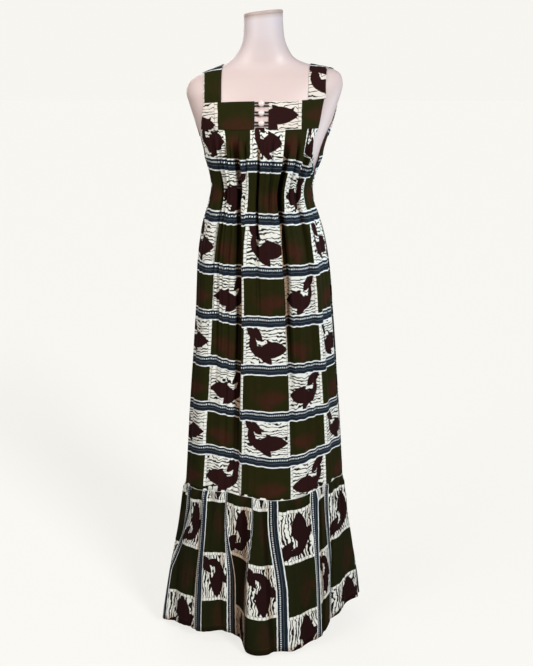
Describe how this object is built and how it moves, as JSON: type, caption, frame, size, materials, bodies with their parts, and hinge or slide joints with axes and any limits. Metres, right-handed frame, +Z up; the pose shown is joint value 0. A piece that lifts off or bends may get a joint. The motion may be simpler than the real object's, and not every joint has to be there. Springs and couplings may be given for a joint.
{
  "type": "maxi dress on dress form",
  "caption": "Sleeveless maxi dress with a square buttoned yoke, wide straps, a gathered skirt and a deep hem ruffle, worn by a limbless dress form on a round stand.",
  "frame": {"origin": "middle of the stand base's underside", "axes": "+Z up along the pole, -Y the dress's front, +X to the right of a viewer who faces the front"},
  "size_m": [0.5399, 0.3966, 1.6126],
  "materials": {
    "print_cotton": "matt wax-print cotton in olive, cream, maroon and navy",
    "form_shell": "smooth pale pink, satin",
    "stand_steel": "brushed",
    "button_pearl": "pale pearl",
    "loop_cord": "dark cotton cord"
  },
  "bodies": {
    "root": {"stand_base": "stand_steel", "stand_pole": "stand_steel", "form_torso": "form_shell", "form_neck_cap": "form_shell", "yoke_front_left": "print_cotton", "yoke_front_right": "print_cotton", "yoke_back": "print_cotton", "skirt_front": "print_cotton", "skirt_back": "print_cotton", "ruffle_front": "print_cotton", "ruffle_back": "print_cotton", "strap_left": "print_cotton", "strap_right": "print_cotton", "button_1": "button_pearl", "button_2": "button_pearl", "button_3": "button_pearl", "loop_left_1": "loop_cord", "loop_left_2": "loop_cord", "loop_left_3": "loop_cord", "loop_right_1": "loop_cord", "loop_right_2": "loop_cord", "loop_right_3": "loop_cord"}
  },
  "joints": []
}
